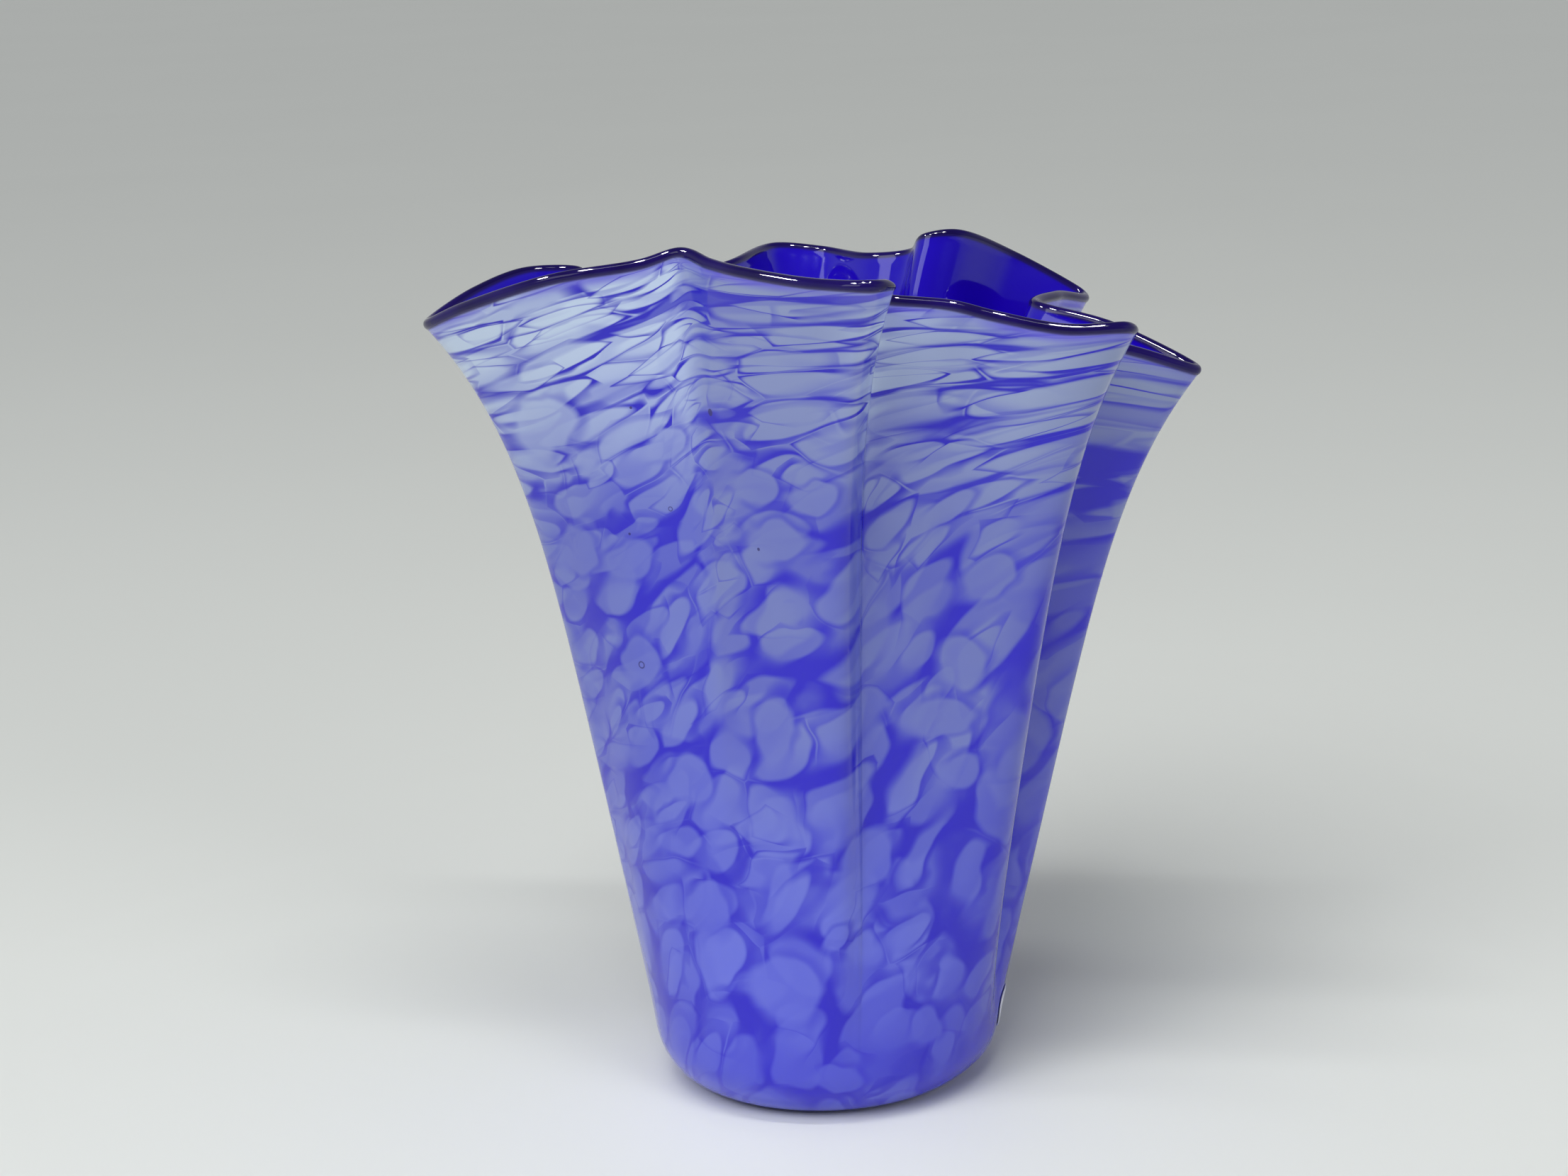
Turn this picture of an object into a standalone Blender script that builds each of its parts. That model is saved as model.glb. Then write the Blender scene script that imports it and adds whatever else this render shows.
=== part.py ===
"""Handkerchief vase: blown glass whose mouth is folded into seven soft corners.

Frame: metres, +Z up. The origin is the middle of the flat face that the vase stands on.
-Y is the side with the single narrow corner, +X is to its right.
"""

import bpy
import numpy as np

MM = 0.001

# Heights
RIM_TOP = 279.5 * MM          # middle of the bead at the highest point of the mouth
FOOT_HEIGHT = 18 * MM         # where the rounded bottom edge becomes the wall
MOUTH_DROP = 47.5 * MM        # lowest corner of the mouth below the highest point

# Mouth, from the outermost to the outermost place of the bead's middle
MOUTH_WIDTH = 239 * MM
MOUTH_DEPTH = 216 * MM

# Radii
FOOT_RADIUS = 54.5 * MM       # middle of the wall at the foot line
CONTACT_RADIUS = 38 * MM      # flat face that rests on the table
HOLLOW_RADIUS = 36 * MM       # flat bottom of the hollow

# Glass thickness
WALL_AT_FOOT = 5.0 * MM
WALL_AT_RIM = 3.2 * MM
BEAD = 3.8 * MM               # fire-polished bead along the rim
FLOOR = 9.0 * MM              # glass under the hollow

# How late the wall turns outward: a higher power keeps the flare nearer to the rim
FLARE_POWER = 7.0

# Round paper sticker near the bottom on the right
LABEL_RADIUS = 7.3 * MM
LABEL_THICKNESS = 0.3 * MM
LABEL_GAP = 0.3 * MM          # clearance to the glass
LABEL_LIFT = 2.0 * MM         # middle of the sticker above the foot line
LABEL_BEARING = 86.0          # degrees from -Y towards +X

# Mesh steps
COLUMNS_PER_SPAN = 4          # columns between two fold points
WALL_ROWS = 12
ROW_EASE = 1.5                # above 1 the rows close up towards the rim
BEAD_STEPS = 4
ROUNDING_STEPS = 4
LABEL_RINGS = 3
LABEL_SIDES = 28

# Pull that makes a Hermite quarter turn follow a circle
QUARTER_PULL = 1.657

# The folds, in order round the mouth. Each point ties a place on the round foot to a place on
# the rim: where it starts at the foot (degrees from -Y towards +X), where the rim stands
# (steps across to +X, back to +Y and below the highest point, which the mouth's width, depth
# and drop turn into lengths), and the share of its outward reach that it gains in the flare
# near the rim. Corners reach out, valleys hold back.
FOLDS = (
    # name                       foot   across  back  drop  flare
    ("left corner",               -93,   -117,    -4,  25.5,  0.35),
    ("left corner front",         -82,   -103,   -26,  17.5,  0.42),
    ("left flank",                -62,    -74,   -47,     7,  0.50),
    ("left front rise",           -46,    -48,   -51,   3.2,  0.65),
    ("left front valley",         -33,    -36,   -52,     0,  0.75),
    ("front flank rise",          -26,    -27,   -64,     2,  0.64),
    ("front flank high",          -19,    -17,   -78,     3,  0.55),
    ("front flank",                -6,      2,   -99,   3.8,  0.45),
    ("front corner",                3,     18,  -110,   3.6,  0.48),
    ("front corner side",           7,     24,  -102,   4.6,  0.60),
    ("right front valley",         11,     23,   -70,  13.5,  0.50),
    ("right front flank high",     22,     43,   -71,    16,  0.48),
    ("right front flank",          32,     56,   -72,  19.6,  0.45),
    ("right front rise",           43,     76,   -76,  23.5,  0.38),
    ("right front corner",         54,     94,   -74,    24,  0.24),
    ("right front side",           64,     96,   -56,  28.5,  0.33),
    ("right valley",               73,     78,   -28,  32.5,  0.65),
    ("right flank",                79,    102,   -26,  39.5,  0.38),
    ("right corner",               87,    122,   -16,  47.5,  0.25),
    ("right corner back",          96,     98,     6,  36.5,  0.38),
    ("right back valley",         106,     76,    22,  31.5,  0.65),
    ("back right flank",          118,     85,    50,  32.7,  0.40),
    ("back right corner",         130,     96,    77,  36.8,  0.30),
    ("back right side",           138,     73,    76,  22.7,  0.35),
    ("back right rise",           145,     53,    61,  12.5,  0.50),
    ("back valley",               150,     43,    61,  13.3,  0.65),
    ("back valley turn",          156,     39,    76,  20.2,  0.50),
    ("back flank",                164,     25,    86,  22.6,  0.40),
    ("back corner right",         173,      9,   106,  22.3,  0.30),
    ("back corner left",          183,     -8,   106,  20.5,  0.30),
    ("back left valley",          198,    -26,    74,  22.5,  0.65),
    ("back left flank",           212,    -54,    86,  29.5,  0.35),
    ("back left corner",          224,    -83,    91,  35.5,  0.30),
    ("back left tip",             230,    -89,    81,  34.5,  0.30),
    ("back left side",            236,    -80,    62,  27.5,  0.50),
    ("left back valley",          243,    -72,    42,  17.5,  0.65),
    ("left corner rise",          250,    -88,    35,  15.8,  0.50),
    ("left corner back",          258,   -104,    20,  19.5,  0.45),
)

# Colours (linear), roughness
GLASS_BLUE = (0.16, 0.17, 0.58, 1.0)
GLASS_ROUGHNESS = 0.08
PAPER_WHITE = (0.80, 0.82, 0.86, 1.0)
PAPER_ROUGHNESS = 0.7

# Small steps for slopes read from neighbouring points, as shares of the whole way
SLOPE_STEP_ROUND = 0.0002
SLOPE_STEP_UP = 0.002
LABEL_SLOPE_STEP = 0.5 * MM
LABEL_SEARCH_STEPS = 2000
KNOT_SLACK = 0.5 * MM         # keeps close fold points from bunching the columns


def unit(vectors):
    """Vectors scaled to length 1."""
    return vectors / np.linalg.norm(vectors, axis=-1, keepdims=True)


def sized(steps, whole):
    """Steps of the folds as lengths, where the whole spread of the steps is the given length."""
    return np.array(steps, dtype=float) * whole / np.ptp(steps)


_, FOOT_BEARINGS, ACROSS_STEPS, BACK_STEPS, DROP_STEPS, FLARES = zip(*FOLDS)
ACROSS = sized(ACROSS_STEPS, MOUTH_WIDTH)
BACK = sized(BACK_STEPS, MOUTH_DEPTH)
DROPS = sized(DROP_STEPS, MOUTH_DROP)


def fold_knots():
    """Position of each fold point along the rim; the last value closes the loop."""
    rim = np.stack((ACROSS, BACK), axis=1)
    spans = np.sqrt(np.linalg.norm(np.roll(rim, -1, axis=0) - rim, axis=1) + KNOT_SLACK)
    return np.concatenate(([0.0], np.cumsum(spans)))


KNOTS = fold_knots()
ROUND = KNOTS[-1]


def through(values, u):
    """Smooth closed curve through one value at each fold point, read at positions u."""
    values = np.asarray(values, dtype=float)
    count = len(values)
    u = np.mod(u, ROUND)
    span = np.clip(np.searchsorted(KNOTS, u, side="right") - 1, 0, count - 1)

    def knot(index):
        return KNOTS[index % count] + ROUND * (index // count)

    def value(index):
        return values[index % count]

    def tangent(index):
        before = knot(index) - knot(index - 1)
        after = knot(index + 1) - knot(index)
        slope_before = (value(index) - value(index - 1)) / before
        slope_after = (value(index + 1) - value(index)) / after
        return (slope_after * before + slope_before * after) / (before + after)

    width = knot(span + 1) - knot(span)
    share = (u - knot(span)) / width
    return hermite(value(span), tangent(span) * width,
                   value(span + 1), tangent(span + 1) * width, share)


def hermite(start, start_pull, end, end_pull, s):
    """Cubic from start to end that leaves and arrives along the two pulls."""
    return ((2 * s**3 - 3 * s**2 + 1) * start + (s**3 - 2 * s**2 + s) * start_pull
            + (3 * s**2 - 2 * s**3) * end + (s**3 - s**2) * end_pull)


def foot_bearing(u):
    """Bearing on the round foot, in radians, for positions u along the rim."""
    even = 360.0 * KNOTS[:-1] / ROUND
    return np.radians(through(FOOT_BEARINGS - even, u) + 360.0 * np.mod(u, ROUND) / ROUND)


def wall_middle(u, t):
    """Middle of the glass wall: u runs round the mouth, t runs from 0 at the foot to 1 at the rim."""
    across = through(ACROSS, u)
    back = through(BACK, u)
    top = RIM_TOP - through(DROPS, u)
    flare = through(FLARES, u)
    bearing = foot_bearing(u)
    reach = (1.0 - flare) * t + flare * t**FLARE_POWER
    foot_x = FOOT_RADIUS * np.sin(bearing)
    foot_y = -FOOT_RADIUS * np.cos(bearing)
    x = foot_x + (across - foot_x) * reach
    y = foot_y + (back - foot_y) * reach
    z = FOOT_HEIGHT + (top - FOOT_HEIGHT) * t
    return np.stack((x, y, z), axis=-1)


def wall_slopes(u, t):
    """Unit directions on the wall: outward normal and the way up the glass."""
    du = SLOPE_STEP_ROUND * ROUND
    round_way = wall_middle(u + du, t) - wall_middle(u - du, t)
    up_way = wall_middle(u, t + SLOPE_STEP_UP) - wall_middle(u, t - SLOPE_STEP_UP)
    return unit(np.cross(round_way, up_way)), unit(up_way)


def wall_face(u, t, side):
    """Outer (side 1) or inner (side -1) face of the wall."""
    normal, _ = wall_slopes(u, t)
    thickness = WALL_AT_FOOT + (WALL_AT_RIM - WALL_AT_FOOT) * t
    return wall_middle(u, t) + side * 0.5 * thickness[:, None] * normal


def rounding(u, side, radius, height, s):
    """Quarter turn from a level ring (s 0) to the wall's lower end (s 1), one s for each u."""
    foot = np.zeros_like(u)
    top = wall_face(u, foot, side)
    _, up = wall_slopes(u, foot)
    out = unit(top * (1.0, 1.0, 0.0))
    ring = out * radius + (0.0, 0.0, height)
    run = np.linalg.norm((top - ring) * (1.0, 1.0, 0.0), axis=-1, keepdims=True)
    rise = top[..., 2:] - height
    return hermite(ring, QUARTER_PULL * run * out, top, QUARTER_PULL * rise * up, s[:, None])


def bead(u, turn):
    """Round bead along the rim; turn runs from 0 on the outside to pi on the inside."""
    rim = np.ones_like(u)
    normal, up = wall_slopes(u, rim)
    return wall_middle(u, rim) + 0.5 * BEAD * (np.cos(turn) * normal + np.sin(turn) * up)


def columns():
    """Positions round the mouth, with the same number between each two fold points."""
    steps = np.arange(COLUMNS_PER_SPAN) / COLUMNS_PER_SPAN
    spans = [start + (end - start) * steps for start, end in zip(KNOTS[:-1], KNOTS[1:])]
    return np.concatenate(spans)


def vase_rings():
    """Closed rings of points, from the resting face up outside, over the bead and down inside."""
    u = columns()
    heights = 1.0 - (1.0 - np.arange(WALL_ROWS) / WALL_ROWS) ** ROW_EASE
    turns = np.linspace(0.0, np.pi, BEAD_STEPS + 1)
    shares = np.arange(ROUNDING_STEPS) / ROUNDING_STEPS
    rings = [rounding(u, 1, CONTACT_RADIUS, 0.0, np.full_like(u, s)) for s in shares]
    rings += [wall_face(u, np.full_like(u, t), 1) for t in heights]
    rings += [bead(u, turn) for turn in turns]
    rings += [wall_face(u, np.full_like(u, t), -1) for t in heights[::-1]]
    rings += [rounding(u, -1, HOLLOW_RADIUS, FLOOR, np.full_like(u, s)) for s in shares[::-1]]
    return rings


def skin_rings(rings, start_middle, end_middle):
    """Points and faces of a closed skin: rings joined by bands, with a fan at each end."""
    count = len(rings[0])
    points = [tuple(point) for ring in rings for point in ring]
    start = len(points)
    points += [tuple(start_middle), tuple(end_middle)]
    faces = []
    for column in range(count):
        beside = (column + 1) % count
        faces.append((start, beside, column))
        last = (len(rings) - 1) * count
        faces.append((start + 1, last + column, last + beside))
        for row in range(len(rings) - 1):
            low = row * count
            high = low + count
            faces.append((low + column, low + beside, high + beside, high + column))
    return points, faces


def outer_face(u, climb, wall_length):
    """Outer face of the glass at a distance up from the foot line, also below it on the rounding."""
    above = np.maximum(climb, 0.0) / wall_length
    below = 1.0 + np.minimum(climb, 0.0) / (QUARTER_PULL * FOOT_HEIGHT)
    return np.where(climb[:, None] > 0.0, wall_face(u, above, 1),
                    rounding(u, 1, CONTACT_RADIUS, 0.0, below))


def label_middle():
    """Column position at the sticker's bearing, and metres for each step of u and of t there."""
    u = np.linspace(0.0, ROUND, LABEL_SEARCH_STEPS, endpoint=False)
    foot_line = wall_face(u, np.zeros_like(u), 1)
    bearing = np.arctan2(foot_line[:, 0], -foot_line[:, 1])
    nearest = np.argmin(np.abs(bearing - np.radians(LABEL_BEARING)))
    width = np.linalg.norm(foot_line[nearest] - foot_line[nearest - 1]) / (u[1] - u[0])
    foot, above = wall_face(u[[nearest, nearest]], np.array((0.0, SLOPE_STEP_UP)), 1)
    return u[nearest], width, np.linalg.norm(above - foot) / SLOPE_STEP_UP


def label_points(sideways, upwards, lift):
    """Points over the glass, given in metres from the sticker's middle, at a lift off the glass."""
    middle, width, wall_length = label_middle()
    u = middle + sideways / width
    climb = LABEL_LIFT + upwards
    side_step = LABEL_SLOPE_STEP / width
    across = (outer_face(u + side_step, climb, wall_length)
              - outer_face(u - side_step, climb, wall_length))
    up = (outer_face(u, climb + LABEL_SLOPE_STEP, wall_length)
          - outer_face(u, climb - LABEL_SLOPE_STEP, wall_length))
    return outer_face(u, climb, wall_length) + lift * unit(np.cross(across, up))


def label_rings():
    """Rings of the thin round sticker: out over its back and in over its front, and both middles."""
    angles = 2.0 * np.pi * np.arange(LABEL_SIDES) / LABEL_SIDES
    spreads = LABEL_RADIUS * np.arange(1, LABEL_RINGS + 1) / LABEL_RINGS
    back = LABEL_GAP
    front = LABEL_GAP + LABEL_THICKNESS
    rings = [label_points(r * np.cos(angles), r * np.sin(angles), back) for r in spreads]
    rings += [label_points(r * np.cos(angles), r * np.sin(angles), front) for r in spreads[::-1]]
    centre = np.zeros(1)
    return rings, [label_points(centre, centre, lift)[0] for lift in (back, front)]


def material(name, colour, roughness):
    """Plain Principled material."""
    finish = bpy.data.materials.new(name)
    finish.use_nodes = True
    shader = finish.node_tree.nodes["Principled BSDF"]
    shader.inputs["Base Color"].default_value = colour
    shader.inputs["Roughness"].default_value = roughness
    shader.inputs["Metallic"].default_value = 0.0
    finish.diffuse_color = colour
    return finish


def add_piece(name, points, faces, finish):
    """Named object with a smooth-shaded mesh."""
    mesh = bpy.data.meshes.new(name)
    mesh.from_pydata(points, [], faces)
    mesh.shade_smooth()
    mesh.materials.append(finish)
    piece = bpy.data.objects.new(name, mesh)
    bpy.context.scene.collection.objects.link(piece)
    return piece


def make_vase():
    """The blown glass body, one closed solid from base to bead."""
    points, faces = skin_rings(vase_rings(), (0.0, 0.0, 0.0), (0.0, 0.0, FLOOR))
    return add_piece("vase", points, faces, material("glass", GLASS_BLUE, GLASS_ROUGHNESS))


def make_label():
    """The blank paper sticker near the bottom."""
    rings, (back, front) = label_rings()
    points, faces = skin_rings(rings, back, front)
    return add_piece("label", points, faces, material("paper", PAPER_WHITE, PAPER_ROUGHNESS))


def main():
    for old in list(bpy.data.objects):
        bpy.data.objects.remove(old)
    make_vase()
    make_label()


main()
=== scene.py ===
"""Handkerchief vase, dressed: folded glass with pale flakes, sticker, floor, light and camera."""

import math

import bpy
import numpy as np
from mathutils import Matrix, Vector


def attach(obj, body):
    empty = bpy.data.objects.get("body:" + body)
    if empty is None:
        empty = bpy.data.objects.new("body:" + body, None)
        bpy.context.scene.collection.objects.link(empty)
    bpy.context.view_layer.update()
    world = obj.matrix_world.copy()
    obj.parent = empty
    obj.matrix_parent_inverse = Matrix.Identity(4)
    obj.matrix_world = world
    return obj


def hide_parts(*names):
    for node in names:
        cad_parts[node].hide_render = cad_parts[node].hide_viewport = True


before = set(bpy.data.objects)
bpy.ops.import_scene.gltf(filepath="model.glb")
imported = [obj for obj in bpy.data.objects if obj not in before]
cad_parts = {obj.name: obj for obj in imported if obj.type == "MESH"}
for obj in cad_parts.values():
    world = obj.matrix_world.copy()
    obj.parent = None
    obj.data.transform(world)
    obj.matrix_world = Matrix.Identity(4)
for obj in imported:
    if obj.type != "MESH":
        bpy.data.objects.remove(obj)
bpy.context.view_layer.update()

bl_info = {
    "name": "Handkerchief Vase",
    "version": (1, 0, 0),
    "blender": (4, 5, 0),
    "location": "3D View > Sidebar > Vase",
    "description": "Builds a folded glass vase with pale flakes over cobalt",
    "category": "Object",
}

MM = 0.001
FOOT_RADIUS = 54.5 * MM       # middle of the wall at the foot line

# The folds, in order round the mouth. Each point ties a place on the round foot to a place on
# the rim: where it starts at the foot (degrees from -Y towards +X), where the rim stands
# (steps across to +X, back to +Y and below the highest point, which the mouth's width, depth
# and drop turn into lengths), and the share of its outward reach that it gains in the flare
# near the rim. Corners reach out, valleys hold back.
FOLDS = (
    # name                       foot   across  back  drop  flare
    ("left corner",               -93,   -117,    -4,  25.5,  0.35),
    ("left corner front",         -82,   -103,   -26,  17.5,  0.42),
    ("left flank",                -62,    -74,   -47,     7,  0.50),
    ("left front rise",           -46,    -48,   -51,   3.2,  0.65),
    ("left front valley",         -33,    -36,   -52,     0,  0.75),
    ("front flank rise",          -26,    -27,   -64,     2,  0.64),
    ("front flank high",          -19,    -17,   -78,     3,  0.55),
    ("front flank",                -6,      2,   -99,   3.8,  0.45),
    ("front corner",                3,     18,  -110,   3.6,  0.48),
    ("front corner side",           7,     24,  -102,   4.6,  0.60),
    ("right front valley",         11,     23,   -70,  13.5,  0.50),
    ("right front flank high",     22,     43,   -71,    16,  0.48),
    ("right front flank",          32,     56,   -72,  19.6,  0.45),
    ("right front rise",           43,     76,   -76,  23.5,  0.38),
    ("right front corner",         54,     94,   -74,    24,  0.24),
    ("right front side",           64,     96,   -56,  28.5,  0.33),
    ("right valley",               73,     78,   -28,  32.5,  0.65),
    ("right flank",                79,    102,   -26,  39.5,  0.38),
    ("right corner",               87,    122,   -16,  47.5,  0.25),
    ("right corner back",          96,     98,     6,  36.5,  0.38),
    ("right back valley",         106,     76,    22,  31.5,  0.65),
    ("back right flank",          118,     85,    50,  32.7,  0.40),
    ("back right corner",         130,     96,    77,  36.8,  0.30),
    ("back right side",           138,     73,    76,  22.7,  0.35),
    ("back right rise",           145,     53,    61,  12.5,  0.50),
    ("back valley",               150,     43,    61,  13.3,  0.65),
    ("back valley turn",          156,     39,    76,  20.2,  0.50),
    ("back flank",                164,     25,    86,  22.6,  0.40),
    ("back corner right",         173,      9,   106,  22.3,  0.30),
    ("back corner left",          183,     -8,   106,  20.5,  0.30),
    ("back left valley",          198,    -26,    74,  22.5,  0.65),
    ("back left flank",           212,    -54,    86,  29.5,  0.35),
    ("back left corner",          224,    -83,    91,  35.5,  0.30),
    ("back left tip",             230,    -89,    81,  34.5,  0.30),
    ("back left side",            236,    -80,    62,  27.5,  0.50),
    ("left back valley",          243,    -72,    42,  17.5,  0.65),
    ("left corner rise",          250,    -88,    35,  15.8,  0.50),
    ("left corner back",          258,   -104,    20,  19.5,  0.45),
)
COLUMNS_PER_SPAN = 16
DISC_ROWS = 4                 # rows of points across each flat disc
ROUNDING_ROWS = 9             # round the bottom edge
WALL_ROWS = 54                # up each face of the wall
BEAD_ROWS = 10                # over the bead
ROW_EASE = 1.35               # sets the wall's rows closer together near the rim
KNOT_SLACK = 0.5 * MM         # keeps close fold points from bunching the columns
QUARTER_PULL = 1.657          # makes a Hermite quarter turn follow a circle
SLOPE_STEP_UP = 0.002         # height share between the points that give the wall's slope
SEAM_REACH = 0.01 * MM        # points closer than this are joined
BEAD_START = 0.01             # share of the turn over the bead where its own finish starts

# The pattern of flakes is laid out on the narrow bubble, before its mouth was opened. It counts
# in flakes: rows upwards, and flakes side by side round the bubble
BUBBLE_RADIUS = 45 * MM
ROW_HEIGHT = 26 * MM
ROWS_ADDED_ABOVE = 1.2        # more rows with the square of the height share
ROWS_ADDED_AT_RIM = 4.0       # and with its eighth power
FLAKE_WIDTH_LOW = 19 * MM
FLAKE_WIDTH_MIDDLE = 16 * MM
FLAKE_WIDTH_RIM = 20 * MM
SLANT_LOW = 0.5               # rows that a row of flakes climbs on its way to +X, near the foot
SLANT_HIGH = 2.5              # and near the rim
WIDE_SWELL = 60 * MM          # size of the slow swells in the glass
WIDE_DRIFT = 18 * MM          # and how far they carry a flake
FINE_SWELL = 15 * MM
FINE_DRIFT = 6 * MM
JOIN_START = 0.03             # angle from a layer's join where its flakes start to show
JOIN_END = 0.12               # and where they show in full

# Layers of flakes, lowest first: size of a flake beside the usual one, bearing of the layer's
# join on the back (degrees from +Y), shift that keeps it off the other layers, share of the
# flakes kept, strength, and where the layer lies
FLAKE_LAYERS = (
    # size  join        shift  kept  strength  where
    (1.70,    70,  (1.3, 3.9), 1.00,     1.00, "veil"),
    (1.20,    20,  (3.1, 7.3), 0.90,     0.80, "everywhere"),
    (1.10,   -25, (11.7, 2.1), 0.78,     0.80, "everywhere"),
    (1.05,    45, (5.3, 17.9), 0.72,     0.82, "everywhere"),
    (0.95,     0, (23.7, 9.1), 0.66,     0.85, "everywhere"),
    (0.70,   -50,  (8.9, 4.7), 0.35,     0.75, "everywhere"),
    (0.50,    35,  (2.3, 6.1), 0.75,     0.80, "crease"),
)
LEFT_VALLEY = math.radians(-29.6)   # bearing of the crease between the two left lobes
FRONT_LOBE = (-0.26, -0.97, 0.0)    # direction of the front lobe from the middle

# Bubbles and seeds on the front: place, radius, and whether only a ring of it shows
INCLUSIONS = (
    ((-54.4 * MM, -34.2 * MM, 148.6 * MM), 1.4 * MM, True),
    ((-42.7 * MM, -43.5 * MM, 200.1 * MM), 0.9 * MM, True),
    ((-16.1 * MM, -64.1 * MM, 191.1 * MM), 0.6 * MM, False),
    ((-53.3 * MM, -42.9 * MM, 231.9 * MM), 0.5 * MM, False),
    ((-55.9 * MM, -36.9 * MM, 191.3 * MM), 0.5 * MM, False),
    ((-29.0 * MM, -53.8 * MM, 231.5 * MM), 1.3 * MM, False),
)

# Flakes that stand out on the front: middle, half length and half breadth (all in mm), how far
# the long side leans up from level towards +X (degrees), and how dense the flake is
FRONT_FLAKES = (
    # across    back     up   long  broad  lean  density
    (-82,      -23,    223,  14.5,   9.5,   28,  1.00),
    (-44,      -44,    220,     8,     5,   42,  0.98),
    (-18,      -64,    210,    10,   5.5,   10,  1.00),
    (0,        -79,    209,    10,     5,   12,  0.96),
    (-12,      -68,    194,  11.5,   7.5,   20,  0.98),
    (-57,      -35,    182,    10,   6.5,   50,  0.90),
    (-74,      -19,    183,   8.5,     8,   20,  0.90),
    (-54,      -35,    149,  10.5,     7,   95,  0.90),
    (40,       -60,    199,    11,   4.5,   30,  1.00),
    (52,       -58,    177,    12,   6.5,   32,  0.94),
    (43,       -56,    151,    10,     9,   20,  1.00),
    (36,       -55,    134,    12,     7,    5,  0.92),
    (42,       -52,    115,    10,   6.5,   25,  0.92),
    (-14,      -62,    131,  15.5,   6.5,   80,  0.92),
    (-41,      -42,    111,    11,     7,   62,  0.98),
    (12,       -58,     89,  13.5,     9,   60,  0.92),
    (-38,      -43,     69,  11.5,   8.5,   80,  0.90),
    (3,        -62,     65,   7.5,   3.5,   45,  1.00),
    (-14,      -57,     47,  13.5,  12.5,   30,  1.00),
    (30,       -49,     30,     8,   6.5,   60,  0.90),
    (0,        -57,     17,    10,   5.5,    5,  0.98),
)
FRONT_FLAKE_DEPTH = 55 * MM   # keeps a front flake off the back of the vase
RAGGED_SWELL = 12 * MM        # size of the waves in a front flake's outline
RAGGED_DRIFT = 7 * MM         # and how far they carry it

# Places on the front where the flakes lie apart: middle and radius
CLEAR_PATCHES = (
    ((-72 * MM, -27 * MM, 206 * MM), 12 * MM),
    ((-59 * MM, -36 * MM, 195 * MM), 8 * MM),
    ((-7 * MM, -69 * MM, 172 * MM), 8 * MM),
    ((37 * MM, -51 * MM, 86 * MM), 13 * MM),
    ((30 * MM, -50 * MM, 42 * MM), 11 * MM),
    ((90 * MM, -19 * MM, 192 * MM), 12 * MM),
    ((79 * MM, -16 * MM, 147 * MM), 24 * MM),
)

# Camera, solved from the photograph's straight lines and the round foot
FOCAL_LENGTH_PX = 4500
PHOTO_WIDTH_PX = 2212
CAMERA_PLACE = (-8.94 * MM, -997.91 * MM, 406.47 * MM)
CAMERA_PITCH = math.radians(13.7)
CAMERA_ROLL = math.radians(2.25)

# Lamps, in metres: place, target, width and height (none for the far, even one), power, and
# whether the glass mirrors it
LAMPS = {
    "daylight": ((-0.6, -1.2, 1.5), (0.0, 0.0, 0.0), None, 1.55, False),
    "window": ((-1.5, -1.1, 1.3), (0.0, 0.0, 0.12), (1.3, 0.9), 9.0, True),
    "ceiling strip": ((-0.1, -0.5, 1.7), (0.0, 0.0, 0.25), (1.2, 0.08), 8.0, True),
    "fill": ((1.2, -1.5, 0.9), (0.0, 0.0, 0.12), (1.0, 1.0), 9.0, False),
}
SUN_ANGLE = math.radians(40)

# Small lamps that only show in reflections, as the white strips on the bead
HIGHLIGHT_PLACES = ((-0.22, -0.10, 0.68), (-0.05, -0.12, 0.66), (0.13, -0.12, 0.68),
                    (-0.375, 0.035, 0.58))
HIGHLIGHT_TARGET = (0.0, -0.10, 0.27)
HIGHLIGHT_SIZE = (0.08, 0.04)
HIGHLIGHT_POWER = 2.8

FLOOR_RADIUS = 14.0
FLOOR_CORNERS = 96
ROOM_STRENGTH = 0.45
PALE_WALL = (0.97, 0.98, 1.0)
DARK_CEILING = (0.20, 0.21, 0.23)


def size_of(name, about, metres):
    """Length property with its default in metres."""
    return bpy.props.FloatProperty(name=name, description=about, default=metres,
                                   min=0.0, precision=4, unit="LENGTH")


def colour_of(name, about, colour):
    """Colour property with its default in linear light."""
    return bpy.props.FloatVectorProperty(name=name, description=about, default=colour,
                                         size=3, min=0.0, max=1.0, subtype="COLOR")


class VaseSizes(bpy.types.PropertyGroup):
    """Sizes of the blown glass body."""

    rim_top: size_of("Rim Top", "Highest point of the bead's middle", 279.5 * MM)
    mouth_width: size_of("Mouth Width", "Left corner to right corner", 239 * MM)
    mouth_depth: size_of("Mouth Depth", "Front corner to back corner", 216 * MM)
    mouth_drop: size_of("Mouth Drop", "Lowest corner below the highest point", 47.5 * MM)
    foot_radius: size_of("Foot Radius", "Middle of the wall at the foot line", FOOT_RADIUS)
    foot_height: size_of("Foot Height", "Height of the rounded bottom edge", 18 * MM)
    contact_radius: size_of("Contact Radius", "Flat face on the table", 38 * MM)
    hollow_radius: size_of("Hollow Radius", "Flat bottom of the hollow", 36 * MM)
    floor_thickness: size_of("Floor Thickness", "Glass under the hollow", 9 * MM)
    wall_at_foot: size_of("Wall at Foot", "Glass thickness at the foot", 5 * MM)
    wall_at_rim: size_of("Wall at Rim", "Glass thickness below the bead", 3.2 * MM)
    bead: size_of("Bead", "Thickness of the fire-polished bead", 3.8 * MM)
    flare_power: bpy.props.FloatProperty(
        name="Flare Power", description="How late the wall turns outward", default=7.0)


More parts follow.
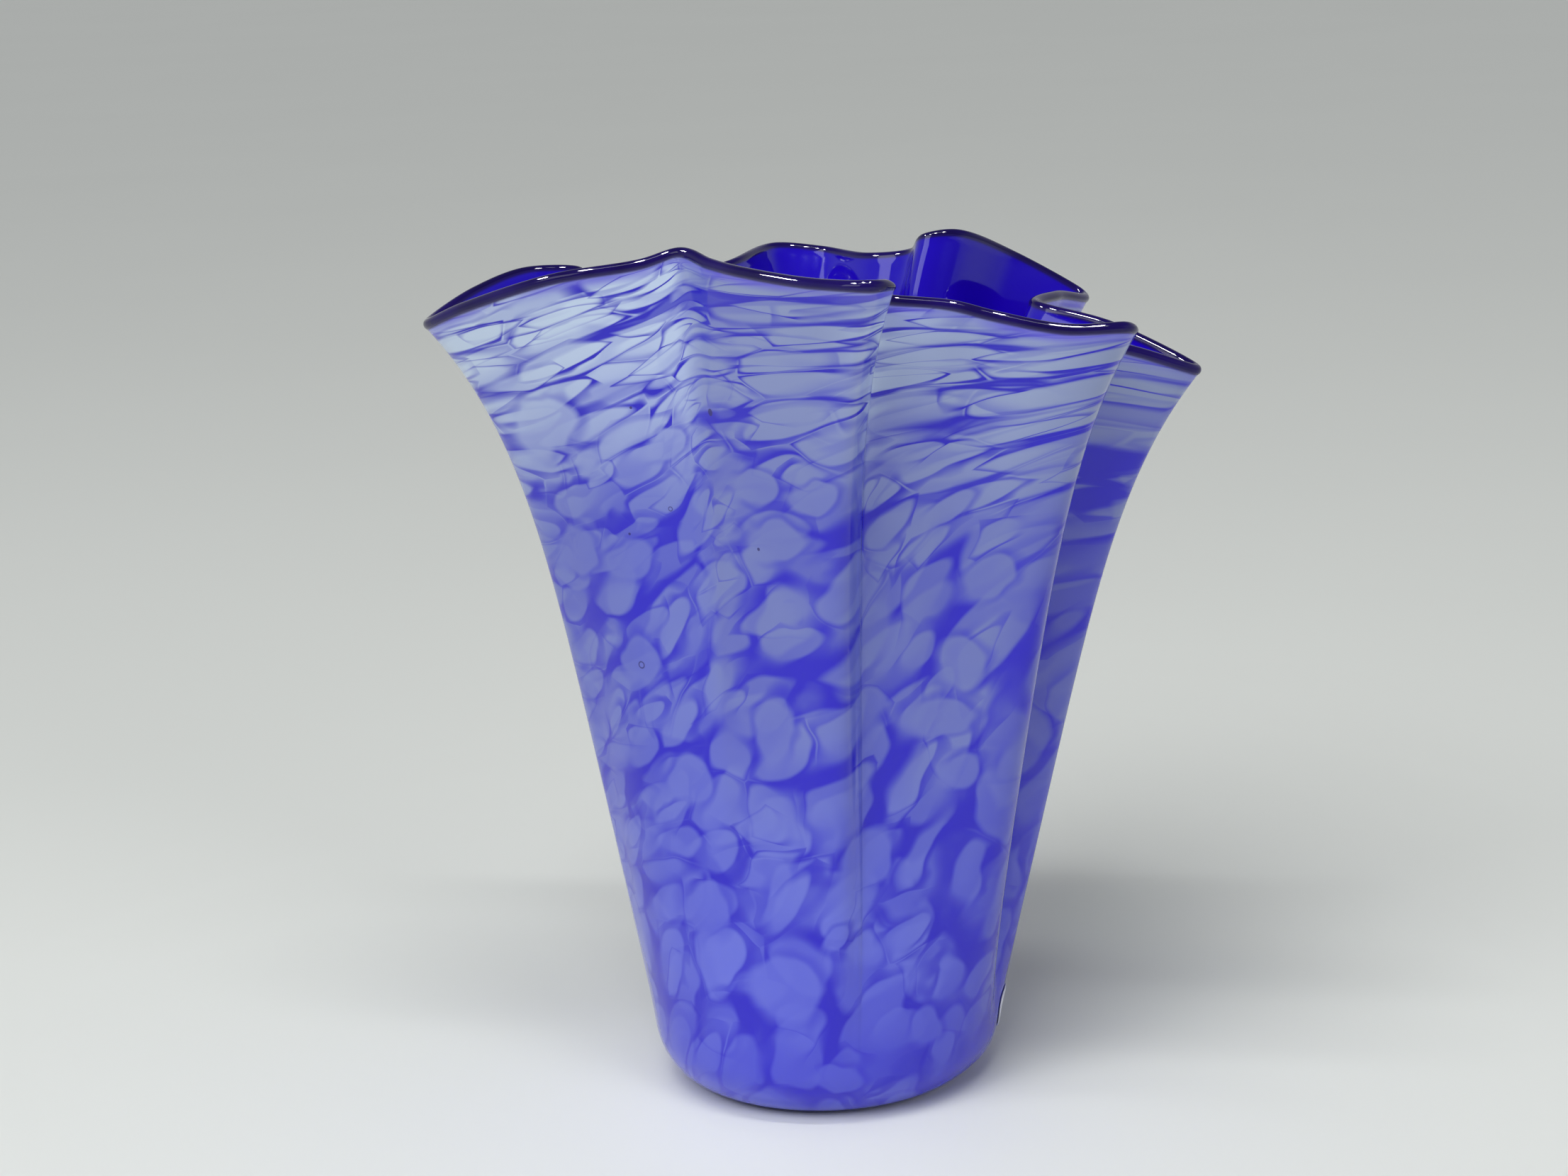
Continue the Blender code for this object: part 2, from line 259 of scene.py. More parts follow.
class VaseColours(bpy.types.PropertyGroup):
    """Colours of the glass, the sticker and the floor."""

    cobalt: colour_of("Cobalt", "Blue between the flakes", (0.015, 0.008, 0.53))
    inner: colour_of("Inner Cobalt", "Lining of the hollow", (0.012, 0.001, 0.43))
    bead: colour_of("Bead", "Dark fire-polished rim", (0.012, 0.005, 0.10))
    low_flake: colour_of("Low Flake", "Flakes near the foot", (0.125, 0.150, 0.66))
    middle_flake: colour_of("Middle Flake", "Flakes half way up", (0.155, 0.190, 0.54))
    high_flake: colour_of("High Flake", "Stretched flakes near the rim", (0.56, 0.67, 0.85))
    # Painted grey reflection and shade, laid over the flakes on the front and right lobes
    painted_reflection_grey: colour_of("Smoke", "Greyer tint on the front and right lobes", (0.20, 0.24, 0.40))
    # Painted glow: the clear glass under the bead, painted as a bright violet band for light
    # shining through the thin glass
    painted_glow: colour_of("Rim Glow", "Clear violet band under the bead", (0.13, 0.11, 0.72))
    paper: colour_of("Paper", "Blank sticker", (0.80, 0.82, 0.86))
    floor: colour_of("Floor", "Pale table top", (0.815, 0.840, 0.800))


class Wire:
    """Output of a node that can be added, scaled and raised as in a formula."""

    def __init__(self, socket):
        self.socket = socket
        self.tree = socket.id_data

    def __add__(self, other):
        return step("ADD", self, other)

    def __sub__(self, other):
        return step("SUBTRACT", self, other)

    def __rsub__(self, other):
        return step("SUBTRACT", other, self)

    def __mul__(self, other):
        return step("MULTIPLY", self, other)

    def __truediv__(self, other):
        return step("DIVIDE", self, other)

    def __pow__(self, other):
        return step("POWER", self, other)

    __radd__ = __add__
    __rmul__ = __mul__


def has_three(value):
    """True for a vector wire or a tuple."""
    if isinstance(value, Wire):
        return value.socket.type in ("VECTOR", "RGBA")
    return isinstance(value, tuple)


def feed(socket, value):
    """Link a wire to a socket, or set the socket's value."""
    if isinstance(value, Wire):
        value.tree.links.new(value.socket, socket)
    else:
        socket.default_value = value


def put(tree, kind, values=(), **settings):
    """Add a node, make its settings and feed its inputs in order or by name."""
    node = tree.nodes.new(kind)
    for name, setting in settings.items():
        setattr(node, name, setting)
    for key, value in values.items() if isinstance(values, dict) else enumerate(values):
        feed(node.inputs[key], value)
    return node


def wire(node, output=0):
    """One output of a node as a wire."""
    return Wire(node.outputs[output])


def tree_of(*values):
    """Node tree that the first wire among the values belongs to."""
    return next(value.tree for value in values if isinstance(value, Wire))


def step(operation, first, second=0.0):
    """One step of arithmetic on numbers or vectors."""
    tree = tree_of(first, second)
    if not has_three(first) and not has_three(second):
        return wire(put(tree, "ShaderNodeMath", (first, second), operation=operation))
    if has_three(first) != has_three(second):
        vector, number = (first, second) if has_three(first) else (second, first)
        return wire(put(tree, "ShaderNodeVectorMath", {"Vector": vector, "Scale": number},
                        operation="SCALE"))
    return wire(put(tree, "ShaderNodeVectorMath", (first, second), operation=operation))


def reach_of(vector):
    """Length of a vector."""
    return wire(put(vector.tree, "ShaderNodeVectorMath", (vector,), operation="LENGTH"), 1)


def dot(first, second):
    """Dot product of two vectors."""
    tree = tree_of(first, second)
    return wire(put(tree, "ShaderNodeVectorMath", (first, second), operation="DOT_PRODUCT"), 1)


def unit(vector):
    """Vector scaled to length 1."""
    return wire(put(vector.tree, "ShaderNodeVectorMath", (vector,), operation="NORMALIZE"))


def xyz(x, y, z):
    """Vector from three numbers."""
    return wire(put(tree_of(x, y, z), "ShaderNodeCombineXYZ", (x, y, z)))


def parts(vector):
    """Three numbers of a vector."""
    node = put(vector.tree, "ShaderNodeSeparateXYZ", (vector,))
    return [wire(node, place) for place in range(3)]


def clamp(value):
    """Value held between 0 and 1."""
    return wire(put(value.tree, "ShaderNodeClamp", (value, 0.0, 1.0)))


def ease(value, low, high, start=0.0, end=1.0):
    """Smooth step from start to end while the value runs from low to high."""
    return wire(put(tree_of(value, low, high), "ShaderNodeMapRange",
                    (value, low, high, start, end), interpolation_type="SMOOTHSTEP"))


def between(first, second, share):
    """Number or vector at a share of the way from first to second."""
    return first + (second - first) * share


def hermite(start, start_pull, end, end_pull, s):
    """Cubic from start to end that leaves and arrives along the two pulls."""
    square = s * s
    cube = square * s
    return (start * (2.0 * cube - 3.0 * square + 1.0) + start_pull * (cube - 2.0 * square + s)
            + end * (3.0 * square - 2.0 * cube) + end_pull * (cube - square))


def new_group(name, kind, inputs, outputs):
    """Node group with its sockets; returns the tree, its inputs by name and its output node."""
    tree = bpy.data.node_groups.new(name, kind)
    for in_out, sockets in (("INPUT", inputs), ("OUTPUT", outputs)):
        for socket_name, socket_kind in sockets:
            tree.interface.new_socket(socket_name, in_out=in_out,
                                      socket_type="NodeSocket" + socket_kind)
    given = tree.nodes.new("NodeGroupInput")
    result = tree.nodes.new("NodeGroupOutput")
    return tree, {socket.name: Wire(socket) for socket in given.outputs if socket.name}, result


def wall_point_group():
    """Node group for the middle of the wall above one place of the foot, at one height share."""
    tree, given, result = new_group("Wall Point", "GeometryNodeTree", (
        ("Rim", "Vector"), ("Bearing", "Float"), ("Flare", "Float"), ("Height Share", "Float"),
        ("Foot Radius", "Float"), ("Foot Height", "Float"), ("Flare Power", "Float")),
        (("Point", "Vector"),))
    sine = wire(put(tree, "ShaderNodeMath", (given["Bearing"],), operation="SINE"))
    cosine = wire(put(tree, "ShaderNodeMath", (given["Bearing"],), operation="COSINE"))
    foot = xyz(given["Foot Radius"] * sine, given["Foot Radius"] * cosine * -1.0,
               given["Foot Height"])
    share = given["Height Share"]
    late = share ** given["Flare Power"]
    reach = between(share, late, given["Flare"])
    feed(result.inputs["Point"], foot + (given["Rim"] - foot) * xyz(reach, reach, share))
    return tree


def folded_wall_tree():
    """Node tree that skins the mouth line down to the foot, outside and inside."""
    tree, given, result = new_group("Folded Wall", "GeometryNodeTree", (
        ("Mouth Line", "Geometry"), ("Columns", "Int"), ("Disc Rows", "Int"),
        ("Rounding Rows", "Int"), ("Wall Rows", "Int"), ("Bead Rows", "Int"),
        ("Row Ease", "Float"), ("Foot Radius", "Float"), ("Foot Height", "Float"),
        ("Contact Radius", "Float"), ("Hollow Radius", "Float"), ("Floor Thickness", "Float"),
        ("Wall at Foot", "Float"), ("Wall at Rim", "Float"), ("Bead", "Float"),
        ("Flare Power", "Float"), ("Glass", "Material"), ("Dark Bead", "Material")),
        (("Geometry", "Geometry"),))
    wall_point = wall_point_group()

    # Rows run from the middle of the base, up outside, over the bead and down to the hollow
    side_rows = given["Disc Rows"] + given["Rounding Rows"] + given["Wall Rows"]
    rows = side_rows * 2.0 + given["Bead Rows"] + 1.0
    index = wire(put(tree, "GeometryNodeInputIndex"))
    column = wire(put(tree, "ShaderNodeMath", ((index + 0.5) / rows,), operation="FLOOR"))
    row = index - column * rows
    inside = step("GREATER_THAN", row, side_rows + given["Bead Rows"] + 0.5)
    side = 1.0 - 2.0 * inside
    near_row = between(row, rows - 1.0 - row, inside)
    disc_share = clamp(near_row / given["Disc Rows"])
    rounding_share = clamp((near_row - given["Disc Rows"]) / given["Rounding Rows"])
    wall_share = clamp((near_row - given["Disc Rows"] - given["Rounding Rows"])
                       / given["Wall Rows"])
    height_share = 1.0 - (1.0 - wall_share) ** given["Row Ease"]
    turn_share = clamp((row - side_rows) / given["Bead Rows"])
    on_bead = (step("GREATER_THAN", row, side_rows - 0.5)
               * step("LESS_THAN", row, side_rows + given["Bead Rows"] + 0.5))

    def on_line(kind, source, offset):
        place = step("FLOORED_MODULO", column + offset, given["Columns"])
        return wire(put(tree, "GeometryNodeSampleIndex",
                        {"Geometry": given["Mouth Line"], "Value": source, "Index": place},
                        data_type=kind))

    def named(kind, name):
        return wire(put(tree, "GeometryNodeInputNamedAttribute", (name,), data_type=kind))

    def point(offset, share):
        node = put(tree, "GeometryNodeGroup", node_tree=wall_point)
        feed(node.inputs["Rim"],
             on_line("FLOAT_VECTOR", wire(put(tree, "GeometryNodeInputPosition")), offset))
        feed(node.inputs["Bearing"], on_line("FLOAT", named("FLOAT", "foot_bearing"), offset))
        feed(node.inputs["Flare"], on_line("FLOAT", named("FLOAT", "flare"), offset))
        feed(node.inputs["Height Share"], share)
        for name in ("Foot Radius", "Foot Height", "Flare Power"):
            feed(node.inputs[name], given[name])
        return wire(node)

    middle = point(0.0, height_share)
    round_way = point(1.0, height_share) - point(-1.0, height_share)
    up = unit(point(0.0, height_share + SLOPE_STEP_UP) - point(0.0, height_share - SLOPE_STEP_UP))
    outward = unit(wire(put(tree, "ShaderNodeVectorMath", (round_way, up),
                            operation="CROSS_PRODUCT")))

    # Faces of the wall, which carry on through the rounded bottom edge to the flat discs
    thickness = between(given["Wall at Foot"], given["Wall at Rim"], height_share)
    face = middle + outward * (thickness * side * 0.5)
    flat_out = unit(face * (1.0, 1.0, 0.0))
    ring_radius = between(given["Contact Radius"], given["Hollow Radius"], inside)
    ring_height = given["Floor Thickness"] * inside
    ring = flat_out * (ring_radius * disc_share) + (0.0, 0.0, 1.0) * ring_height
    run = reach_of((face - ring) * (1.0, 1.0, 0.0))
    rise = parts(face)[2] - ring_height
    skin = hermite(ring, flat_out * (run * QUARTER_PULL), face, up * (rise * QUARTER_PULL),
                   rounding_share)
    turn = turn_share * math.pi
    bead = middle + (outward * wire(put(tree, "ShaderNodeMath", (turn,), operation="COSINE"))
                     + up * wire(put(tree, "ShaderNodeMath", (turn,), operation="SINE"))
                     ) * (given["Bead"] * 0.5)
    place = wire(put(tree, "GeometryNodeSwitch",
                     {"Switch": on_bead, "False": skin, "True": bead}, input_type="VECTOR"))

    # Where each point lay on the glass before the mouth was opened, for the flakes
    bearing = on_line("FLOAT", named("FLOAT", "foot_bearing"), 0.0)
    sine = wire(put(tree, "ShaderNodeMath", (bearing,), operation="SINE"))
    cosine = wire(put(tree, "ShaderNodeMath", (bearing,), operation="COSINE"))
    rim_height = parts(on_line("FLOAT_VECTOR", wire(put(tree, "GeometryNodeInputPosition")),
                               0.0))[2]
    wall_length = rim_height - given["Foot Height"]
    climb = (height_share * wall_length
             - (1.0 - rounding_share) * given["Foot Height"] * QUARTER_PULL)
    start_place = xyz(sine * given["Foot Radius"] * disc_share,
                      cosine * given["Foot Radius"] * disc_share * -1.0, climb)

    grid = put(tree, "GeometryNodeMeshGrid",
               {"Vertices X": given["Columns"] + 1.0, "Vertices Y": rows})
    flow = wire(grid)
    for kind, name, value in (
            ("FLOAT_VECTOR", "start_place", start_place),
            ("FLOAT", "height_share", height_share),
            ("FLOAT", "across_bead", turn_share),
            ("FLOAT", "below_rim", (1.0 - height_share) * wall_length)):
        flow = wire(put(tree, "GeometryNodeStoreNamedAttribute",
                        {"Geometry": flow, "Name": name, "Value": value},
                        data_type=kind, domain="POINT"))
    flow = wire(put(tree, "GeometryNodeSetPosition", {"Geometry": flow, "Position": place}))
    flow = wire(put(tree, "GeometryNodeMergeByDistance",
                    {"Geometry": flow, "Distance": SEAM_REACH}))
    flow = wire(put(tree, "GeometryNodeSetShadeSmooth", {"Geometry": flow, "Shade Smooth": True}))
    flow = wire(put(tree, "GeometryNodeRealizeInstances", {"Geometry": flow}))
    flow = wire(put(tree, "GeometryNodeSetMaterial",
                    {"Geometry": flow, "Material": given["Glass"]}))
    turned = named("FLOAT", "across_bead")
    rounded = (step("GREATER_THAN", turned, BEAD_START)
               * step("LESS_THAN", turned, 1.0 - BEAD_START))
    flow = wire(put(tree, "GeometryNodeSetMaterial",
                    {"Geometry": flow, "Selection": rounded, "Material": given["Dark Bead"]}))
    feed(result.inputs["Geometry"], flow)
    return tree


def sized(steps, whole):
    """Steps of the folds as lengths, where the whole spread of the steps is the given length."""
    return np.array(steps, dtype=float) * whole / np.ptp(steps)


def through(values, knots, shares):
    """Smooth closed curve through one value at each fold point, read at shares of each span."""
    values = np.asarray(values, dtype=float)
    widths = np.diff(knots)
    slopes = (np.roll(values, -1) - values) / widths
    before = np.roll(widths, 1)
    tangents = (slopes * before + np.roll(slopes, 1) * widths) / (before + widths)
    spans = [hermite(values[i - 1], tangents[i - 1] * widths[i - 1],
                     values[i], tangents[i] * widths[i - 1], shares)
             for i in np.roll(np.arange(len(values)), -1)]
    return np.concatenate(spans)


def mouth_line(sizes):
    """Closed line along the middle of the rim, with the foot bearing and the flare on it."""
    _, bearings, across, back, drop, flares = zip(*FOLDS)
    across = sized(across, sizes.mouth_width)
    back = sized(back, sizes.mouth_depth)
    drop = sized(drop, sizes.mouth_drop)
    rim = np.stack((across, back), axis=1)
    spans = np.sqrt(np.linalg.norm(np.roll(rim, -1, axis=0) - rim, axis=1) + KNOT_SLACK)
    knots = np.concatenate(([0.0], np.cumsum(spans)))
    shares = np.arange(COLUMNS_PER_SPAN) / COLUMNS_PER_SPAN
    whole_turn = 360.0 / knots[-1]
    even = knots[:-1] * whole_turn
    even_all = np.concatenate([start + span * whole_turn * shares
                               for start, span in zip(even, spans)])
    foot = np.radians(through(bearings - even, knots, shares) + even_all)
    points = np.stack((through(across, knots, shares), through(back, knots, shares),
                       sizes.rim_top - through(drop, knots, shares)), axis=1)
    count = len(points)
    mesh = bpy.data.meshes.new("mouth line")
    mesh.from_pydata(points, [(i, (i + 1) % count) for i in range(count)], [])
    for name, values in (("foot_bearing", foot), ("flare", through(flares, knots, shares))):
        mesh.attributes.new(name, "FLOAT", "POINT").data.foreach_set("value", values)
    return mesh


def set_inputs(modifier, values):
    """Set a geometry tree's inputs by their names."""
    for item in modifier.node_group.interface.items_tree:
        if item.item_type == "SOCKET" and item.in_out == "INPUT" and item.name in values:
            modifier[item.identifier] = values[item.name]


def settle(piece):
    """Put the result of a piece's modifiers into its mesh and take the modifiers off."""
    graph = bpy.context.evaluated_depsgraph_get()
    mesh = bpy.data.meshes.new_from_object(piece.evaluated_get(graph),
                                           preserve_all_data_layers=True, depsgraph=graph)
    piece.modifiers.clear()
    piece.data = mesh


def flake_layer_group():
    """Node group that lays one layer of flakes over the density of the glass below it."""
    tree, given, result = new_group("Flake Layer", "ShaderNodeTree", (
        ("Below", "Float"), ("Place", "Vector"), ("Length", "Float"), ("Breadth", "Float"),
        ("Lean", "Float"), ("Spread", "Float"), ("Pointed", "Float"), ("Kept", "Float"),
        ("Seam", "Float"), ("Edge", "Float"), ("Seam Depth", "Float"), ("Soft Edge", "Float"),
        ("Strength", "Float")),
        (("Density", "Float"),))
    nearest, second = [put(tree, "ShaderNodeTexVoronoi",
                           {"Vector": given["Place"], "Scale": 1.0},
                           feature=feature, voronoi_dimensions="2D") for feature in ("F1", "F2")]
    chance, thickness, turn = parts(wire(nearest, 1))
    away = given["Place"] - wire(nearest, 2)
    along, aside, _ = parts(wire(put(
        tree, "ShaderNodeVectorRotate",
        {"Vector": away, "Angle": (0.5 - turn) * given["Spread"] - given["Lean"]},
        rotation_type="Z_AXIS")))
    growth = 0.75 + 0.45 * thickness
    along_share = along / (given["Length"] * growth)
    aside_share = aside / (given["Breadth"] * growth)
    rounded = 1.0 - reach_of(xyz(along_share, aside_share, 0.0))
    lens = 1.0 - along_share ** 2.0 - wire(put(tree, "ShaderNodeMath", (aside_share,),
                                              operation="ABSOLUTE"))
    outline = between(rounded, lens, given["Pointed"]) * given["Breadth"]
    room = (wire(second) - wire(nearest)) * 0.5
    within = wire(put(tree, "ShaderNodeMath", (outline, room, 0.16), operation="SMOOTH_MIN"))
    fading = (ease(dot(away, unit(xyz(thickness - 0.5, turn - 0.6, 0.0))), -0.10, 0.35)
              * (1.0 - 0.35 * given["Pointed"]))
    body = ease(within, 0.0, given["Edge"] + given["Soft Edge"] * fading)
    kept = step("LESS_THAN", chance, given["Kept"])
    shadow = (ease(within, -1.0 * given["Seam"], 0.0) * ease(room, 0.0, 0.02)
              * (1.0 - body) * (1.0 - fading) * kept)
    level = 0.70 + 0.18 * turn + 0.26 * given["Below"] - 0.20 * fading + 0.08 * given["Pointed"]
    seen_below = given["Below"] * (1.0 - shadow * given["Seam Depth"] * given["Strength"])
    feed(result.inputs["Density"],
         between(seen_below, level, body * kept * given["Strength"]))
    return tree


def front_flake_group():
    """Node group for one flake at a known place, over the density of the glass below it."""
    tree, given, result = new_group("Front Flake", "ShaderNodeTree", (
        ("Below", "Float"), ("Spot", "Vector"), ("Middle", "Vector"), ("Turn", "Vector"),
        ("Reach", "Vector"), ("Density", "Float")), (("Density", "Float"),))
    away = wire(put(tree, "ShaderNodeMapping",
                    (given["Spot"], given["Middle"], given["Turn"], given["Reach"]),
                    vector_type="TEXTURE"))
    share = reach_of(away)
    along = parts(away)[0]
    body = ease(share, 1.0, ease(along, -0.9, 0.2, 0.40, 0.80), 0.0, 0.75)
    rim = ease(share, 1.0, 1.3, ease(along, -0.9, 0.2, 1.0, 0.6), 1.0)
    feed(result.inputs["Density"],
         wire(put(tree, "ShaderNodeMix",
                  {0: body, 2: given["Below"] * rim, 3: given["Density"]})))
    return tree


def new_material(name):
    """Material with its tree and its surface shader."""
    finish = bpy.data.materials.new(name)
    finish.use_nodes = True
    tree = finish.node_tree
    return finish, tree, tree.nodes["Principled BSDF"]


def noise(tree, place, size, detail=2.0, output=0):
    """Soft noise whose bumps are about the given size in metres."""
    return wire(put(tree, "ShaderNodeTexNoise",
                    {"Vector": place, "Scale": 1.0 / size, "Detail": detail}), output)


def drift(tree, place, swell, reach):
    """Soft offset in all directions, in swells of the given size."""
    return (noise(tree, place, swell, 1.0, 1) - (0.5, 0.5, 0.5)) * reach


def mixed(tree, share, first, second):
    """Colour at a share of the way from first to second."""
    node = put(tree, "ShaderNodeMix", data_type="RGBA")
    feed(node.inputs[0], share)
    for socket, colour in ((node.inputs[6], first), (node.inputs[7], second)):
        feed(socket, colour if isinstance(colour, Wire) else tuple(colour) + (1.0,))
    return wire(node, 2)


def flake_glass(colours):
    """Cobalt glass with layers of pale flakes under a clear glossy skin."""
    finish, tree, shader = new_material("cobalt_flake_glass")

    def read(name, output):
        return wire(put(tree, "ShaderNodeAttribute", attribute_name=name), output)

    start = read("start_place", 1)
    height = read("height_share", 2)
    across = read("across_bead", 2)
    below_rim = read("below_rim", 2)

    # The flakes were rolled on while the glass was a narrow bubble: opening the mouth drew
    # them out along the rim, and lower down they lean over
    x, y, z = parts(start)
    crisp = ease(height, 0.70, 0.93)
    drift_round, drift_up, _ = parts(drift(tree, start, WIDE_SWELL, WIDE_DRIFT)
                                     + drift(tree, start, FINE_SWELL, FINE_DRIFT))
    climb = ((z + drift_up * (1.0 - 0.7 * crisp)) / ROW_HEIGHT
             + (height ** 2.0) * ROWS_ADDED_ABOVE + (height ** 8.0) * ROWS_ADDED_AT_RIM)
    sideways = x / FOOT_RADIUS
    climb = climb - ((sideways * 0.67 + sideways * sideways * sideways * 0.44)
                     * ease(height, 0.10, 0.82, SLANT_LOW, SLANT_HIGH))
    per_metre = between(ease(height, 0.15, 0.50, 1 / FLAKE_WIDTH_LOW, 1 / FLAKE_WIDTH_MIDDLE),
                        1 / FLAKE_WIDTH_RIM, crisp)
    lean = ease(height, 0.85, 0.45, 0.0, 0.7) + ease(height, 0.45, 0.15, 0.0, 0.4)

    # Where the flakes lie apart or the seams between them widen and fade
    low_right = ease(x, 5 * MM, 30 * MM) * ease(height, 0.45, 0.25)
    far_right = ease(x, 36 * MM, 44 * MM)
    spot = wire(put(tree, "ShaderNodeTexCoord"), 3)
    clear = 0.0
    for place, radius in CLEAR_PATCHES:
        away = wire(put(tree, "ShaderNodeVectorMath", (spot, place), operation="DISTANCE"), 1)
        clear = step("MAXIMUM", ease(away, radius, 0.35 * radius), clear)
    thin_cover = noise(tree, start + (0.31, 0.12, 0.07), 30 * MM) + 0.20 * low_right
    bare = ease(thin_cover + 0.25 * clear, 0.58, 0.75)
    seam_wander = ease(noise(tree, start, 9 * MM, 1.0), 0.35, 0.65, 0.4, 1.7)
    seam_fade = ease(noise(tree, start + (0.13, 0.41, 0.22), 14 * MM, 1.0), 0.35, 0.65, 0.6, 1.3)
    left_fold = dot(unit(xyz(x, y, 0.0)), (math.sin(LEFT_VALLEY), -math.cos(LEFT_VALLEY), 0.0))
    covers = {
        "everywhere": 1.0,
        "veil": (ease(height, 0.20, 0.60, 0.70, 0.35) * (1.0 - 0.6 * low_right)
                 * (1.0 - 0.6 * clear) * (1.0 - 0.5 * crisp)),
        "crease": (ease(left_fold, 0.985, 0.998) * ease(height, 0.45, 0.65)
                   * ease(noise(tree, start, 14 * MM), 0.35, 0.60))}

    shape = {
        "Length": between(0.74, 0.92, crisp) - bare * 0.15 - clear * 0.12,
        "Breadth": between(0.44, 0.52, crisp) - bare * 0.12 - clear * 0.08,
        "Lean": lean, "Spread": between(1.2, 0.4, crisp), "Pointed": crisp,
        "Seam": between(0.24, 0.22, crisp) * seam_wander,
        "Edge": between(0.07, 0.08, crisp),
        "Seam Depth": between(0.75, 1.35, crisp) * seam_fade,
        "Soft Edge": between(0.30, 0.20, crisp)}
    layer = flake_layer_group()
    dense = 0.0
    for size, join, shift, kept, strength, where in FLAKE_LAYERS:
        joined = parts(wire(put(tree, "ShaderNodeVectorRotate",
                                {"Vector": start, "Angle": math.radians(join)},
                                rotation_type="Z_AXIS")))
        bearing = wire(put(tree, "ShaderNodeMath", (joined[0], joined[1] * -1.0),
                           operation="ARCTAN2"))
        from_join = math.pi - wire(put(tree, "ShaderNodeMath", (bearing,),
                                       operation="ABSOLUTE"))
        round_way = (bearing * BUBBLE_RADIUS + drift_round) * per_metre
        dense = wire(put(tree, "ShaderNodeGroup", {
            "Below": dense,
            "Place": (xyz(round_way, climb, 0.0) + (shift[0], shift[1], 0.0)) * (1.0 / size),
            "Kept": kept,
            "Strength": ease(from_join, JOIN_START, JOIN_END, 0.0, covers[where] * strength),
            **shape}, node_tree=layer))
    dense = dense * (1.0 - 0.35 * far_right * ease(height, 0.90, 0.70))

    ragged = spot + drift(tree, spot, RAGGED_SWELL, RAGGED_DRIFT)
    front_flake = front_flake_group()
    for across_x, back_y, up_z, long, broad, tilt, density in FRONT_FLAKES:
        dense = wire(put(tree, "ShaderNodeGroup", {
            "Below": dense, "Spot": ragged, "Density": density,
            "Middle": (across_x * MM, back_y * MM, up_z * MM),
            "Turn": (0.0, -math.radians(tilt), 0.0),
            "Reach": (long * MM, FRONT_FLAKE_DEPTH, broad * MM)}, node_tree=front_flake))
    dense = clamp(dense * between(0.90, 1.08, noise(tree, start, 20 * MM))
                  * ease(height, 0.0, 0.12, 0.65, 1.0))

    # Colours: ice white near the rim, periwinkle lower down
    flake = mixed(tree, ease(height, 0.1, 0.6), colours.low_flake, colours.middle_flake)
    front_fold = ease(dot(unit(xyz(x, y, 0.0)), FRONT_LOBE), 0.92, 0.99)
    right_side = ease(x, 5 * MM, 25 * MM)
    # White near the rim, where the glass was stretched thin, is real. It is held back on the front
    # and right lobes as painted shade, because those lobes face away from the lamps on the left.
    whitening_and_painted_shade = (ease(height, 0.68, 0.98) * (1.0 - 0.65 * front_fold)
                 * (1.0 - 0.4 * right_side) * (1.0 - 0.3 * far_right))
    flake = mixed(tree, whitening_and_painted_shade, flake, colours.high_flake)
    # Painted grey reflection on the front lobe and painted shade on the right lobes, mixed into the
    # flake colour as a greyer tint
    painted_reflection_share = (step("MAXIMUM", front_fold, right_side) * ease(height, 0.25, 0.55, 0.0, 0.35)
             + far_right * 0.25)
    flake = mixed(tree, painted_reflection_share, flake, colours.painted_reflection_grey)
    outside = mixed(tree, dense, colours.cobalt, flake)
    # Painted glow under the bead: clear glass where the flakes stop, painted bright violet for
    # light shining through the thin glass there
    painted_glow = ease(below_rim, 4.5 * MM, 1 * MM) * ease(noise(tree, start, 18 * MM), 0.3, 0.7, 0.2, 0.9)
    outside = mixed(tree, painted_glow, outside, colours.painted_glow)
    inside = mixed(tree, ease(noise(tree, start, 25 * MM), 0.35, 0.75, 0.0, 0.25),
                   colours.inner, colours.cobalt)
    surface = mixed(tree, ease(across, 0.45, 0.55), outside, inside)
    surface = mixed(tree, ease(below_rim, 1.2 * MM, 0.3 * MM), surface, colours.bead)
    low_edge = ease(z, -20 * MM, -27 * MM)
    surface = mixed(tree, low_edge * 0.45, surface, colours.bead)

    # Small bubbles and dark seeds in the skin
    for place, radius, ringed in INCLUSIONS:
        reach = reach_of(spot - place)
        speck = ease(reach, radius, 0.75 * radius)
        if ringed:
            speck = speck * ease(reach, 0.45 * radius, 0.7 * radius)
        surface = mixed(tree, speck * 0.8, surface, colours.bead)
    feed(shader.inputs["Base Color"], surface)

    feed(shader.inputs["Roughness"], ease(noise(tree, start, 6 * MM), 0.3, 0.7, 0.05, 0.09))
    shader.inputs["IOR"].default_value = 1.5
    waves = put(tree, "ShaderNodeBump",
                {"Strength": 0.25, "Distance": 1.0 * MM,
                 "Height": noise(tree, start, 24 * MM, 0.0)})
    feed(shader.inputs["Normal"], wire(waves))
    return finish


def dark_bead(colours):
    """Fire-polished rim, nearly black where the glass is thickest."""
    finish, tree, shader = new_material("dark_bead")
    start = wire(put(tree, "ShaderNodeAttribute", attribute_name="start_place"), 1)
    deep = tuple(0.6 * level for level in colours.bead)
    feed(shader.inputs["Base Color"],
         mixed(tree, ease(noise(tree, start, 8 * MM), 0.3, 0.7), deep, colours.bead))
    shader.inputs["Roughness"].default_value = 0.04
    shader.inputs["IOR"].default_value = 1.35
    return finish


